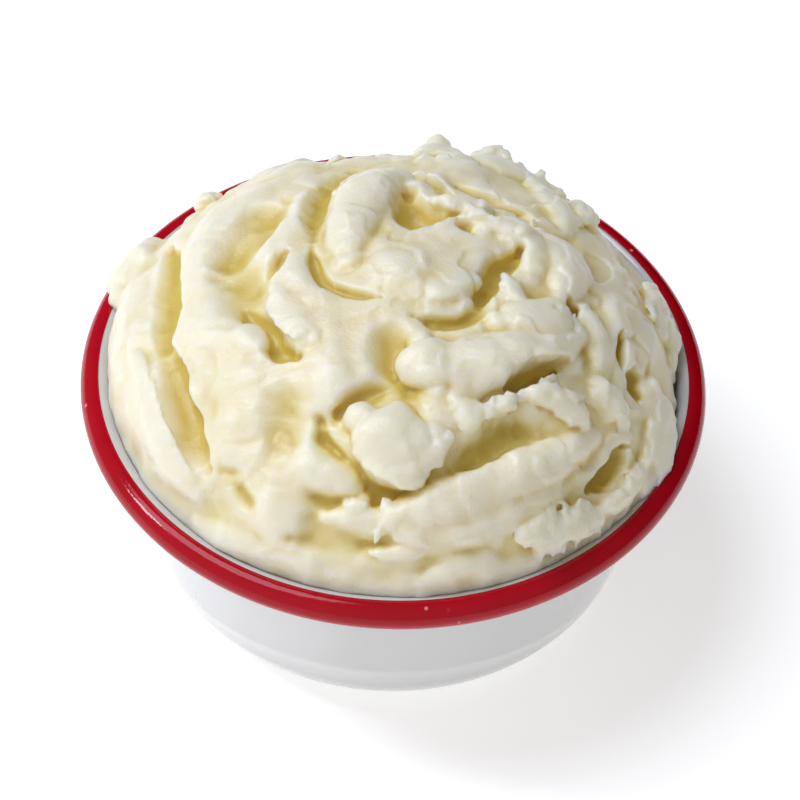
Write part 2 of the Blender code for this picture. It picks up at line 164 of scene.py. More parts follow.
STROKES = [
    # Left: broad smooth bands round a long groove
    Stroke(LOBE, "back_left_ridge", (164, 150, 132), (46, 44, 41), 9, 5, -3.2, 0, 2.5),
    Stroke(LOBE, "outer_left_wall", (148, 186, 228), (77, 71, 70), 9, 5, -3.2, 6, 2.5),
    Stroke(LOBE, "left_band", (156, 186, 216), (48, 42, 46), 9, 5, -3.3, 0, 2.5),
    Stroke(LOBE, "left_smooth", (206, 218, 234), (39, 42, 50), 8, 6, -4.9, 0, 2.5),
    Stroke(LOBE, "left_plateau", (222, 231, 239), (46, 53, 58), 8, 5, -3.8, 0, 2),
    Stroke(LOBE, "inner_left_mass", (160, 198, 237), (24, 21, 24), 9, 6, -4.8, 0, 2.5),
    Stroke(LOBE, "ridge_by_valley", (180, 152, 126), (28, 26, 30), 6, 5, -3.4, 0, 2),
    Stroke(LOBE, "middle_left_mass", (231, 246, 251), (26, 32, 40), 7, 5, -3.8, 0, 2),
    Stroke(SCOOP, "left_groove", (159, 178, 197), (60, 53, 55), 5.0, 7, 2.6, 0, 0.8),
    Stroke(SCOOP, "left_groove_tail", (193, 211, 227), (54, 58, 65), 3.6, 6, 1.8, 35, 0.7),
    Stroke(PLATE, "groove_lip", (188, 208, 228), (64, 67, 72), 6, 2.2, 0.3, 10, 0.8, 0.1),
    Stroke(SCOOP, "upper_left_valley", (179, 162, 138), (38, 34, 32), 8, 9, 4.8, 0, 2),
    Stroke(SCOOP, "hook_valley_top", (174, 202), (33, 33), 8, 9, 5.8, 0, 3),
    Stroke(SCOOP, "hook_valley", (190, 208, 228), (35, 31, 30), 3.6, 7, 2.8, 0, 1.4),
    Stroke(SCOOP, "hook_pit", (213, 228), (33, 30), 3.2, 6, 0.8, 0, 0.4, 0.2),
    Stroke(PLATE, "hook_lip", (194, 210, 228), (25, 24, 25), 6, 2.4, 0.0, -12, 0.8, 0.15),
    Stroke(LOBE, "hook_lobe", (203, 218), (36, 35), 5, 4, -2.6, 0, 1.2),
    Stroke(SCOOP, "thin_crease", (171, 189), (23, 29), 1.8, 3, 1.3, 0, 0.8),
    # Crown: a lobe curled round a hollow
    Stroke(LOBE, "crown_front", (186, 312, 375), (10, 4, 18), 9, 5, -4.2, 0, 2),
    Stroke(SCOOP, "crown_crease_wide", (108, 126, 158), (36, 28, 19), 3.8, 6, 3.2, 0, 0.8, 0.2),
    Stroke(SCOOP, "crown_crease", (163, 205, 255), (18, 14, 10), 2.0, 5, 2.4, 0, 0.6, 0.2),
    Stroke(LOBE, "crown_lobe", (90, 116, 172), (29, 19, 9), 8.0, 5.5, -1.9, -12, 0.6, 0.15),
    Stroke(LOBE, "behind_hollow", (90, 78, 66), (30, 29, 25), 3.6, 4, -2.2, 0, 1, 0.3),
    Stroke(SCOOP, "crown_hollow", (84, 74, 56), (22, 16, 18), 6.6, 8.5, 1.4, 0, 0.8),
    Stroke(SCOOP, "back_crease", (97, 84, 60), (32, 29, 24), 1.7, 4, 1.5, 0, 0.5, 0.3),
    Stroke(PLATE, "small_lump", (68, 58, 47), (20, 23, 26), 3.6, 3, 0.3, 0, 0.4, 0.45),
    Stroke(PLATE, "lump_arm", (61, 48, 38), (26, 22, 23), 2.4, 2.4, 0.2, 0, 0.4, 0.5),
    Stroke(SCOOP, "dark_pit", (46, 30), (18, 18), 2.6, 6, 1.6, 0, 0.4, 0.3),
    # Back: crags with torn tops
    Stroke(LOBE, "back_shoulder", (60, 105, 140), (66, 66, 62), 10, 5, -4.0, 0, 2.5),
    Stroke(SCOOP, "back_dip", (84, 98, 116), (60, 57, 58), 12, 10, 1.9, 0, 3, 0),
    Stroke(LOBE, "crag_slope", (90, 77, 62), (39, 41, 41), 7, 5, -4.0, 0, 1.5, 0.2),
    Stroke(LOBE, "crag_left", (86, 80, 73), (47, 52, 47), 6, 5.5, -2.6, 0, 0.8, 0.25),
    Stroke(LOBE, "crag_middle", (71, 64, 55), (49, 54, 52), 8, 6, -3.2, 0, 0.8, 0.25),
    Stroke(LOBE, "crag_right", (54, 42, 31), (50, 46, 42), 6.5, 5, -2.4, 0, 0.8, 0.2),
    Stroke(PLATE, "crag_far", (36, 40, 45), (52, 58, 63), 4.2, 3, 1.0, 0, 0.5, 0.4),
    Stroke(PLATE, "crag_peak", (85, 78), (53, 55), 4.4, 2.0, 0.2, 62, 0.6, 0.8),
    Stroke(PLATE, "crag_crest", (72, 66, 60), (57, 58, 57), 4.2, 2.0, 0.6, 58, 0.6, 0.8),
    Stroke(PLATE, "crag_edge", (57, 51), (58, 60), 3.6, 2.0, 0.4, 60, 0.6, 0.8),
    Stroke(PLATE, "crag_spike", (43, 39), (62, 65), 3.6, 2.0, 2.0, 60, 0.6, 0.5, 0.4),
    Stroke(SCOOP, "crag_crease", (67, 49, 36), (30, 31, 35), 1.9, 4, 1.2, 0, 0.5, 0.3),
    # Right: a mass split by ridges, and the smooth slope beside it
    Stroke(LOBE, "right_slope", (24, 14, 4), (45, 52, 60), 11, 6, -7.4, 0, 2.5, 0.1),
    Stroke(LOBE, "right_shoulder", (5, -2, -10), (57, 62, 66), 7, 5, -4.2, 0, 2, 0.1),
    Stroke(SCOOP, "right_back_slope", (6, 28, 50), (74, 68, 72), 13, 10, 7.2, 0, 3, 0),
    Stroke(LOBE, "mass_left", (33, 25, 0), (21, 28, 28), 6.5, 5, -2.0, 0, 1, 0.12),
    Stroke(LOBE, "mass_right", (28, 15, -5), (34, 36, 35), 7, 5, -1.4, 8, 0.8, 0.15),
    Stroke(SCOOP, "mass_valley", (17, 4, -28), (26, 21, 19), 3.8, 7, 2.0, 0, 0.8, 0.2),
    Stroke(LOBE, "crown_crumbs", (-55, -31, -12), (12, 12, 16), 4.8, 3.6, -1.6, 0, 1.0, 0.35),
    Stroke(SCOOP, "under_crumbs", (286, 308, 334), (14, 18, 20), 3, 6, 2.8, 0, 1, 0.2),
    # Middle: three lobes with crisp undersides
    Stroke(SCOOP, "centre_valley", (258, 271, 276), (16, 23, 34), 8, 10, 6.6, 0, 2.5, 0.1),
    Stroke(LOBE, "lobe_a", (-32, -21, -13), (24, 30, 37), 7.6, 5.5, -1.2, -8, 0.6, 0.12),
    Stroke(PLATE, "lobe_a_ear", (-3, -10, -18), (22, 24, 25), 3.4, 2.2, 0.0, 0, 1.2, 0.3),
    Stroke(PLATE, "lobe_a_tip", (-13, -11), (32, 37), 2.6, 2.0, 1.4, 0, 0.6, 0.4),
    Stroke(SCOOP, "lobe_a_pit", (-6, -13), (37, 41), 3.4, 7, 1.8, 0, 0.5, 0.2),
    Stroke(LOBE, "lobe_b", (284, 308, 343), (25, 29, 39), 8.6, 6, -1.2, -12, 0.5, 0.1),
    Stroke(LOBE, "lobe_b_left", (287, 287), (20, 31), 7.5, 6, -1.8, 0, 0.8, 0.1),
    Stroke(SCOOP, "lobe_b_crease", (-50, -28), (36, 41), 2.6, 6, 1.4, -20, 0.6, 0.15),
    Stroke(PLATE, "lobe_b_bumps", (289, 302), (33, 34), 2.8, 2.2, -0.2, 0, 0.6, 0.4),
    Stroke(SCOOP, "lobe_c_top", (254, 258, 274), (40, 34, 30), 3.4, 6, 2.8, 0, 1.2),
    Stroke(LOBE, "lobe_c_right", (278, 292), (36, 38), 5.5, 4, -2.5, 0, 1, 0.2),
    Stroke(LOBE, "lobe_c", (261, 269, 282), (38, 41, 41), 9, 6.5, -1.0, -8, 0.6, 0.12),
    Stroke(LOBE, "lobe_c_low", (263, 270, 280), (45, 48, 46), 6.5, 5, 0, -8, 0.6, 0.12),
    Stroke(PLATE, "lobe_c_flap", (272, 279, 286), (48, 46, 42), 4.4, 3, 1.4, -6, 0.8, 0.3),
    Stroke(SCOOP, "lobe_c_channel", (250, 254, 264, 287), (41, 47, 55, 54.5), 5.2, 8, 3.2, 0, 1.6),
    Stroke(SCOOP, "lobe_c_pit", (255, 263), (50, 55), 4.6, 7, 1.6, 0, 1.6, 0.15),
    Stroke(PLATE, "torn_one", (291, 294, 294), (34, 38, 43), 3.6, 2.6, 0.8, 0, 0.4, 0.3),
    Stroke(PLATE, "torn_two", (294, 301, 308), (45, 42, 39), 4.2, 2.3, 1.5, 0, 0.4, 0.5),
    Stroke(PLATE, "torn_three", (-47, -38, -36), (40, 46, 53), 4, 2.6, 1.0, 0, 0.4, 0.4),
    Stroke(PLATE, "torn_four", (-25, -28), (49, 60), 3.6, 2.4, 0.4, 0, 0.8, 0.3),
    Stroke(PLATE, "rib_near", (-5, -13, -21), (41, 44, 47), 4.4, 2.6, -0.4, 0, 0.8, 0.2),
    Stroke(PLATE, "rib_far", (5, -10), (48, 52), 3.6, 2.4, -1.0, 0, 1.6, 0.2),
    Stroke(SCOOP, "slit", (-5, -15), (51, 54), 2.4, 6, 1.6, 0, 0.6, 0.2),
    Stroke(SCOOP, "slit_low", (-12, -19), (58, 62), 4.6, 7, 2.6, 0, 1.2, 0.2),
    # Front: bands that follow the rim, with torn edges on the right
    Stroke(SCOOP, "left_middle_valley", (230, 239, 244), (35, 44, 53), 8, 10, 8.5, 0, 3, 0.1),
    Stroke(LOBE, "middle_plateau", (243, 254, 263), (51, 53, 57), 7, 5, -3.6, 6, 2.5, 0.1),
    Stroke(SCOOP, "broad_valley", (284, 297, 312), (51, 47, 49), 8, 10, 6.4, 0, 2, 0.1),
    Stroke(SCOOP, "dark_valley", (-54, -44), (53, 55), 3, 6, 1.6, 0, 1, 0.15),
    Stroke(LOBE, "front_band", (268, 289, 324), (60, 57, 57), 6.5, 5, -1.6, 4, 0.9, 0.08),
    Stroke(LOBE, "front_band_low", (275, 292, 314), (65, 64, 63), 6, 4, -2.0, 0, 1.2, 0.1),
    Stroke(SCOOP, "soft_valley", (248, 260, 270), (60, 59.5, 59), 4.5, 6, 3.4, 0, 1.8),
    Stroke(LOBE, "tongue", (245, 248, 248), (56, 66, 76), 6.5, 4, -2.8, 0, 2.2, 0.2),
    Stroke(SCOOP, "tongue_crease", (254, 256), (61, 70), 3.2, 5, 3.4, 0, 1.8, 0.1),
    Stroke(SCOOP, "left_tongue_crease", (235, 242), (63, 67), 2.4, 4, 2.6, 0, 1.2, 0.2),
    Stroke(SCOOP, "far_tongue_crease", (229, 235), (62, 60), 1.8, 3, 2.2, 0, 1, 0.2),
    Stroke(PLATE, "thin_ridge", (257, 266, 278), (63, 61, 63), 4.0, 2.0, -1.0, -8, 1.4, 0.25),
    Stroke(PLATE, "fang", (260, 263), (62, 66), 3.0, 1.8, -0.9, 0, 1.4, 0.2, 0.4),
    Stroke(PLATE, "wedge", (269, 274, 278), (57, 63, 68), 5.4, 2.5, -0.3, 0, 1.0, 0.35, 0.5),
    Stroke(SCOOP, "lower_valley", (251, 261, 272), (70, 69, 70), 5, 6, 3.8, 0, 1.8, 0.15),
    Stroke(LOBE, "small_ridge", (267, 279), (71, 70), 2.8, 2.4, -1.2, 0, 1.0, 0.3),
    Stroke(LOBE, "rim_layer", (230, 246, 262), (80, 79, 79), 5, 4, -2.0, 0, 1, 0.15),
    Stroke(SCOOP, "right_pit", (-31, -37, -43), (66, 69, 69), 3.6, 6, 1.2, 0, 0.6, 0.2),
    Stroke(PLATE, "torn_strip", (-27, -34, -44), (73, 76, 75), 3.2, 2.2, 1.4, 0, 0.4, 0.5),
    Stroke(PLATE, "toothed_plate", (-61, -53, -45), (71, 73, 76), 5.6, 2.2, 1.7, -8, 0.3, 0.45),
    Stroke(PLATE, "tooth", (-58, -59), (72, 79), 2.6, 1.8, 1.7, 0, 0.3, 0.3, 0.6),
    Stroke(LOBE, "front_lump", (277, 286, 294), (79, 77, 79), 5, 4, -1.6, 0, 0.6, 0.3),
    Stroke(SCOOP, "front_gap", (269, 281), (81, 83), 2.4, 4, 2.4, 0, 0.8, 0.3),
    Stroke(LOBE, "right_overflow", (-34, -24, -13), (84, 79, 66), 7.5, 5, -0.8, 0, 1.5, 0.2),
    # Rim: where the potato stands back from the wall or lies on the roll
    Stroke(SCOOP, "left_wall_gap", (182, 212, 242), (90, 90, 90), 3.4, 7, 1.0, 0, 1, 0.1),
    Stroke(SCOOP, "right_wall_gap", (-11, 7), (89, 89), 4.5, 7, 0.5, 0, 1, 0.15),
    Stroke(PLATE, "far_right_lobe", (18, 11, 4), (70, 73, 76), 8, 3.6, 0.0, 0, 1.6, 0.3),
    Stroke(LOBE, "left_overhang", (152, 158, 165), (77, 79, 81), 9, 5.2, 2.0, 0, 3, 0.4),
    Stroke(PLATE, "corner_flap", (138, 134), (75, 74), 4.6, 3.0, 1.6, 0, 1.5, 0.4),
    Stroke(SCOOP, "back_left_gap", (118, 126), (89, 88), 4.5, 7, 0.5, 0, 1, 0.15),
    Stroke(LOBE, "front_edge", (246, 290, 334), (83, 83, 83), 6, 4.5, -2.6, 0, 2, 0.2),
]

# Fields of small torn flakes: from and to which bearing and drop, how many, half width and lift
FlakeField = namedtuple("FlakeField", "name bearing drop count width lift")

FLAKE_FIELDS = [
    FlakeField("crag_flakes", (36, 88), (44, 62), 11, 3.6, 0.2),
    FlakeField("right_flakes", (-30, 30), (30, 56), 4, 4.0, -0.6),
    FlakeField("front_flakes", (262, 335), (57, 80), 7, 4.0, -0.3),
    FlakeField("back_flakes", (95, 150), (40, 78), 7, 4.2, -0.9),
]
FLAKE_SEED = 11


class Nodes:
    """Adds and links a material's nodes."""

    def __init__(self, name):
        self.material = bpy.data.materials.new(name)
        self.material.use_nodes = True
        self.tree = self.material.node_tree
        self.shader = self.tree.nodes["Principled BSDF"]

    def add(self, kind, **settings):
        node = self.tree.nodes.new(kind)
        for key, value in settings.items():
            setattr(node, key, value)
        return node

    def link(self, source, target):
        self.tree.links.new(source, target)

    def position(self):
        return self.add("ShaderNodeTexCoord").outputs["Object"]

    def measure(self, name):
        return self.add("ShaderNodeAttribute", attribute_name=name).outputs["Fac"]

    def noise(self, scale, detail=3.0, roughness=0.55):
        node = self.add("ShaderNodeTexNoise")
        node.inputs["Scale"].default_value = scale
        node.inputs["Detail"].default_value = detail
        node.inputs["Roughness"].default_value = roughness
        self.link(self.position(), node.inputs["Vector"])
        return node.outputs["Fac"]

    def ramp(self, source, *stops):
        node = self.add("ShaderNodeValToRGB")
        for element, (place, _) in zip(node.color_ramp.elements, stops):
            element.position = place
        for place, _ in stops[2:]:
            node.color_ramp.elements.new(place)
        for element, (_, colour) in zip(node.color_ramp.elements, stops):
            element.color = (*colour, 1)
        self.link(source, node.inputs["Fac"])
        return node.outputs["Color"]

    def mix(self, share, first, second):
        node = self.add("ShaderNodeMix", data_type="RGBA")
        self.feed(share, node.inputs["Factor"])
        self.feed(first, node.inputs["A"])
        self.feed(second, node.inputs["B"])
        return node.outputs["Result"]

    def calculated(self, operation, first, second):
        node = self.add("ShaderNodeMath", operation=operation)
        self.feed(first, node.inputs[0])
        self.feed(second, node.inputs[1])
        return node.outputs[0]

    def multiplied(self, first, second):
        return self.calculated("MULTIPLY", first, second)

    def summed(self, first, second):
        return self.calculated("ADD", first, second)

    def feed(self, value, target):
        if isinstance(value, bpy.types.NodeSocket):
            self.link(value, target)
        elif isinstance(value, tuple):
            target.default_value = (*value, 1)
        else:
            target.default_value = value

    def bump(self, source, distance, below=None):
        node = self.add("ShaderNodeBump")
        node.inputs["Strength"].default_value = 1
        node.inputs["Distance"].default_value = distance
        self.link(source, node.inputs["Height"])
        if below is not None:
            self.link(below, node.inputs["Normal"])
        return node.outputs["Normal"]


def grey(value):
    return (value, value, value)


def white_enamel():
    """White enamel: glassy, very slightly uneven, with a faint grey cloudiness."""
    made = Nodes("white_enamel")
    shader = made.shader
    cloud = made.noise(18, 2)
    tint = made.ramp(cloud, (0.35, (0.58, 0.58, 0.575)), (0.65, (0.61, 0.61, 0.605)))
    made.link(tint, shader.inputs["Base Color"])
    shader.inputs["Roughness"].default_value = 0.18
    shader.inputs["Coat Weight"].default_value = 0.6
    shader.inputs["Coat Roughness"].default_value = 0.06
    made.link(made.bump(made.noise(140, 2), 0.00005), shader.inputs["Normal"])
    return made.material


def red_enamel():
    """Deep red enamel on the roll, with pinprick pale specks and small dips in the glaze."""
    made = Nodes("red_enamel")
    shader = made.shader
    tint = made.ramp(made.noise(60, 3), (0.3, (0.37, 0.0006, 0.008)), (0.7, (0.45, 0.001, 0.011)))
    specks = made.add("ShaderNodeTexVoronoi")
    specks.inputs["Scale"].default_value = 260
    made.link(made.position(), specks.inputs["Vector"])
    near = made.ramp(specks.outputs["Distance"], (0.07, grey(1)), (0.15, grey(0)))
    some = made.ramp(specks.outputs["Color"], (0.70, grey(0)), (0.74, grey(1)))
    both = made.multiplied(near, some)
    made.link(made.mix(both, tint, (0.72, 0.26, 0.25)), shader.inputs["Base Color"])
    shader.inputs["Roughness"].default_value = 0.1
    shader.inputs["Specular IOR Level"].default_value = 0.26
    made.link(made.bump(made.noise(220, 3), 0.00008), shader.inputs["Normal"])
    return made.material


def potato():
    """Mash: near white on its ridges, with painted shade: yellower and darker in creases and valleys
    and the deeper it lies. Moist, with a fine grain.
    """
    made = Nodes("mashed_potato")
    shader = made.shader
    # Painted shade: the potato's colour turns yellower and darker the more creased, hollow and deep
    # it lies
    depth = made.multiplied(made.measure("depth"), DEPTH_SHADE_SHARE)
    crease = made.multiplied(made.measure("crease"), CREASE_SHADE_SHARE)
    valley = made.multiplied(made.measure("valley"), VALLEY_SHADE_SHARE)
    painted_shade = made.summed(made.summed(depth, crease), valley)
    uneven = made.multiplied(made.noise(90, 4), UNEVEN_SHARE)
    tint = made.ramp(
        made.summed(painted_shade, uneven),
        (0.55, (0.875, 0.825, 0.67)),
        (0.70, (0.865, 0.79, 0.56)),
        (0.86, (0.81, 0.69, 0.33)),
        (1.0, (0.69, 0.52, 0.11)),
    )
    made.link(tint, shader.inputs["Base Color"])
    shader.inputs["Roughness"].default_value = 0.38
    shader.inputs["Specular IOR Level"].default_value = 0.5
    shader.inputs["Subsurface Weight"].default_value = 0.9
    shader.inputs["Subsurface Radius"].default_value = (1.0, 0.86, 0.36)
    shader.inputs["Subsurface Scale"].default_value = 0.0062
    coarse = made.bump(made.noise(330, 4, 0.6), 0.0003)
    made.link(made.bump(made.noise(1100, 3, 0.6), 0.00012, coarse), shader.inputs["Normal"])
    return made.material


def arc(centre_r, centre_z, radius, start, end, steps):
    """Points (r, z) along an arc, angles from straight out."""
    return [
        (centre_r + radius * math.cos(a), centre_z + radius * math.sin(a))
        for a in (start + (end - start) * k / steps for k in range(steps + 1))
    ]


def wall_corner(radius, floor_z, wall_r, wall_z):
    """Centre (r, z) of the arc that joins the floor to the leaning wall through (wall_r, wall_z)."""
    centre_z = floor_z + radius
    touch_z = centre_z - radius * math.sin(WALL_LEAN)
    touch_r = wall_r - (wall_z - touch_z) * math.tan(WALL_LEAN)
    return touch_r - radius * math.cos(WALL_LEAN), centre_z


def inner_outline(offset=0.0, steps=16):
    """(r, z) from the middle of the bowl's floor up its inside to the roll, moved in by offset."""
    radius = INNER_CORNER_RADIUS - offset
    floor_z = SHEET + offset
    wall_r = WALL_TOP_R - offset / math.cos(WALL_LEAN)
    centre_r, centre_z = wall_corner(radius, floor_z, wall_r, WALL_TOP_Z)
    corner = arc(centre_r, centre_z, radius, -math.pi / 2, -WALL_LEAN, steps)
    return [(0.0, floor_z), *corner, (wall_r, WALL_TOP_Z)]


def outer_outline(steps=20):
    """(r, z) from the roll down the bowl's outside to the middle of its base."""
    wall_r = WALL_TOP_R + SHEET / math.cos(WALL_LEAN)
    centre_r, centre_z = wall_corner(CORNER_RADIUS, 0.0, wall_r, WALL_TOP_Z)
    corner = arc(centre_r, centre_z, CORNER_RADIUS, -WALL_LEAN, -math.pi / 2, steps)
    return [*corner, (0.0, 0.0)]


def roll_end():
    """Angle on the roll where the wall's outside runs into it."""
    across = RIM_ROLL_RADIUS * math.cos(WALL_LEAN) - SHEET / math.cos(WALL_LEAN)
    return -math.pi + math.acos(across / RIM_ROLL_RADIUS) - WALL_LEAN / 2


def roll_outline(steps=48):
    """(r, z) over the rolled edge, from the wall's inside round to where it meets the outside."""
    return arc(
        ROLL_CENTRE_R, ROLL_CENTRE_Z, RIM_ROLL_RADIUS, math.pi - WALL_LEAN, roll_end(), steps
    )


def turned(name, outline, material, closed=False):
    """A mesh turned round the bowl's axis from an outline that runs over its outer side downwards."""
    count = len(outline)
    edges = [(k, (k + 1) % count) for k in range(count if closed else count - 1)]
    mesh = bpy.data.meshes.new(name)
    mesh.from_pydata([(r, 0, z) for r, z in outline], edges, [])
    piece = bpy.data.objects.new(name, mesh)
    bpy.context.scene.collection.objects.link(piece)
    screw = piece.modifiers.new("turned", "SCREW")
    screw.steps = screw.render_steps = BOWL_STEPS
    screw.use_merge_vertices = True
    screw.merge_threshold = 0.00001
    screw.use_smooth_shade = True
    mesh.materials.append(material)
    return piece


def build_bowl():
    """The white bowl, and the red coat on its roll."""
    outline = [*inner_outline()[:-1], *roll_outline(), *outer_outline()]
    bowl = turned("enamel_bowl", outline, white_enamel())
    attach(bowl, "root")
    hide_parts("bowl")
    roll = (ROLL_CENTRE_R, ROLL_CENTRE_Z)
    end = roll_end() + RED_PAST_END
    outside = arc(*roll, RIM_ROLL_RADIUS + RED_COAT, RED_FROM, end, RED_STEPS)
    inside = arc(*roll, RIM_ROLL_RADIUS - RED_COAT, end, RED_FROM, RED_STEPS)
    coat = turned("red_rim_coat", outside + inside, red_enamel(), closed=True)
    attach(coat, "root")


def lattice_noise(points, wavelength, seed):
    """Smooth random values from -1 to 1, one for each point, with bumps of about a wavelength."""
    size = 64
    table = np.random.default_rng(seed).uniform(-1, 1, size**3).astype(np.float32)
    cell = (points / wavelength).astype(np.float32)
    corner = np.floor(cell)
    part = cell - corner
    part = part * part * part * (part * (part * 6 - 15) + 10)
    corner = corner.astype(np.int32) % size
    after = (corner + 1) % size
    value = np.zeros(len(points), np.float32)
    for dx in (0, 1):
        x = (after if dx else corner)[:, 0] * (size * size)
        share_x = part[:, 0] if dx else 1 - part[:, 0]
        for dy in (0, 1):
            xy = x + (after if dy else corner)[:, 1] * size
            share_xy = share_x * (part[:, 1] if dy else 1 - part[:, 1])
            for dz in (0, 1):
                share = share_xy * (part[:, 2] if dz else 1 - part[:, 2])
                value += share * table[xy + (after if dz else corner)[:, 2]]
    return value


def dome(bearing, drop):
    """Points on the dome and their outward normals, from bearings and drops in radians."""
    out = np.stack([np.cos(bearing), np.sin(bearing), np.zeros_like(bearing)], -1)
    up = np.array([0.0, 0.0, 1.0])
    sine, cosine = np.sin(drop)[:, None], np.cos(drop)[:, None]
    points = DOME_RADIUS * sine * out + (DOME_BASE_Z + DOME_RISE * cosine) * up
    normals = sine * out / DOME_RADIUS + cosine * up / DOME_RISE
    return points, normals / np.linalg.norm(normals, axis=1, keepdims=True)


def dome_distance(points):
    """About how far points lie outside the dome; its edge goes straight down."""
    below = np.minimum(points[:, 2] - DOME_BASE_Z, 0)
    flat = points[:, 0] ** 2 + points[:, 1] ** 2
    z = points[:, 2] - DOME_BASE_Z - below
    scaled = np.sqrt(flat / DOME_RADIUS**2 + z * z / DOME_RISE**2)
    slope = np.sqrt(flat / DOME_RADIUS**4 + z * z / DOME_RISE**4)
    return scaled * (scaled - 1) / np.maximum(slope, 1e-6)


def smooth_line(bearings, drops, count):
    """Bearings and drops at even shares of a smooth line through the given places, in radians."""
    bearings, drops = np.radians(bearings), np.radians(drops)
    flat = np.stack([drops * np.cos(bearings), drops * np.sin(bearings)])
    steps = np.linalg.norm(np.diff(flat, axis=1), axis=0)
    shares = np.r_[0, np.cumsum(steps)] / steps.sum()
    at = np.linspace(0, 1, count)
    east, north = (np.polyval(np.polyfit(shares, row, len(shares) - 1), at) for row in flat)
    return np.arctan2(north, east), np.hypot(east, north), steps.sum()


def stroke_path(stroke):
    """The stroke's middle line with its directions of travel, its left and its outward normals."""
    length = DOME_RADIUS * smooth_line(stroke.bearing, stroke.drop, 2)[2]
    bearing, drop, _ = smooth_line(stroke.bearing, stroke.drop, max(6, int(length / PATH_STEP)))
    path, normals = dome(bearing, drop)
    path = path + normals * stroke.lift
    travel = np.gradient(path, axis=0)
    step = np.linalg.norm(travel, axis=1)
    travel = travel / step[:, None]
    return path, travel, np.cross(normals, travel), normals, step


def nearest_on_path(points, path):
    """The number of the path's point that is nearest to each point."""
    path = path.astype(np.float32)
    lengths = (path**2).sum(1)
    nearest = np.empty(len(points), np.int64)
    chunk = 40000
    for start in range(0, len(points), chunk):
        part = points[start : start + chunk]
        nearest[start : start + chunk] = (lengths - 2 * part @ path.T).argmin(1)
    return nearest


def stroke_distance(points, stroke, jitter):
    """About how far points lie outside the stroke's flattened, leaning section."""
    path, travel, left, normals, step = stroke_path(stroke)
    last = len(path) - 1
    nearest = nearest_on_path(points, path)
    offset = points - path[nearest]
    ahead = (offset * travel[nearest]).sum(1)
    aside = (offset * left[nearest]).sum(1)
    above = (offset * normals[nearest]).sum(1)
    place = np.clip((nearest + ahead / step[nearest]) / last, 0, 1)
    past = np.where(nearest == 0, np.maximum(-ahead, 0), 0)
    past = np.where(nearest == last, np.maximum(ahead, 0), past)
    taper = np.maximum(np.sqrt(1 - np.abs(2 * place - 1) ** 3), LEAST_TAPER)
    lean = math.radians(stroke.lean)
    across = aside * math.cos(lean) + above * math.sin(lean)
    over = above * math.cos(lean) - aside * math.sin(lean)
    width = stroke.width * taper * (1 + stroke.ragged * jitter) * (1 - stroke.point * place)
    thick = stroke.thick * (0.4 + 0.6 * taper)
    reach = np.sqrt(across**2 + past**2)
    if stroke.kind == PLATE:
        part = reach / width
        height = np.abs(over) - thick * (1 - part * part)
        return height / np.sqrt(1 + (2 * thick * part / width) ** 2)
    scaled = np.sqrt(reach**2 / width**2 + over**2 / thick**2)
    slope = np.sqrt(reach**2 / width**4 + over**2 / thick**4)
    return scaled * (scaled - 1) / np.maximum(slope, 1e-6)


def melted(first, second, melt):
    """The union of two distance fields, rounded off where they meet."""
    share = np.clip(0.5 + 0.5 * (second - first) / melt, 0, 1)
    return second + (first - second) * share - melt * share * (1 - share)


def bowl_distance(points):
    """How far points lie inside the bowl's sheet or its roll, or under the floor of the cut."""
    outline = np.array(inner_outline(WALL_GAP * MM)) / MM
    radius = np.hypot(points[:, 0], points[:, 1])
    z = points[:, 2]
    wall = np.interp(z, outline[1:, 1], outline[1:, 0])
    roll_r, roll_z = ROLL_CENTRE_R / MM, ROLL_CENTRE_Z / MM
    in_wall = np.where(z < roll_z, (radius - wall) * math.cos(WALL_LEAN), -BAND_INSIDE)
    clear = RIM_ROLL_RADIUS / MM + WALL_GAP
    in_roll = clear - np.hypot(radius - roll_r, z - roll_z)
    return np.maximum(np.maximum(in_wall, in_roll), CUT_FLOOR - z)


def torn_share(points):
    """How torn the potato is, 0 to 1: smooth on the left, ragged on the right and at the back."""
    slant = points[:, 0] * TORN_TOWARDS[0] + points[:, 1] * TORN_TOWARDS[1]
    return np.clip((slant - TORN_FROM) / TORN_OVER, TORN_LEAST, 1)


def torn_layers(points):
    """Height of thin layers that rise slowly and break off at a crisp uneven edge."""
    wander = 1.3 * lattice_noise(points, 12, 41) + 0.45 * lattice_noise(points, 4.5, 42)
    wander += 0.12 * lattice_noise(points, 2.0, 43)
    share = wander - np.floor(wander)
    fall = np.clip((share - LAYER_BREAK) / (1 - LAYER_BREAK), 0, 1)
    return share / LAYER_BREAK * (1 - fall) + (1 - share) * fall - LAYER_MEAN


def torn_flakes():
    """Small flakes strewn at random over the parts of the heap where the potato is torn."""
    draw = np.random.default_rng(FLAKE_SEED)
    flakes = []
    for field in FLAKE_FIELDS:
        for _ in range(field.count):
            bearing = draw.uniform(*field.bearing)
            drop = draw.uniform(*field.drop)
            turn = draw.uniform(0, 2 * math.pi)
            reach = draw.uniform(1.5, 4.5)
            aside = reach * math.cos(turn) / math.sin(math.radians(drop))
            flake = Stroke(
                kind=PLATE,
                name=field.name,
                bearing=(bearing, bearing + aside),
                drop=(drop, drop + reach * math.sin(turn)),
                width=field.width * draw.uniform(0.7, 1.5),
                thick=draw.uniform(1.4, 2.0),
                lift=field.lift + draw.uniform(-0.6, 0.6),
                lean=draw.uniform(-18, 18),
                melt=0.6,
                ragged=0.3,
                point=0.4,
            )
            flakes.append(flake)
    return flakes


def warped(points):
    """The points moved a little at random, so that no stroke stays quite regular."""
    warp = np.stack([lattice_noise(points, 15, seed) for seed in (11, 12, 13)], -1)
    fine_warp = np.stack([lattice_noise(points, 5, seed) for seed in (14, 15, 16)], -1)
    return points + 1.0 * warp + 0.45 * fine_warp


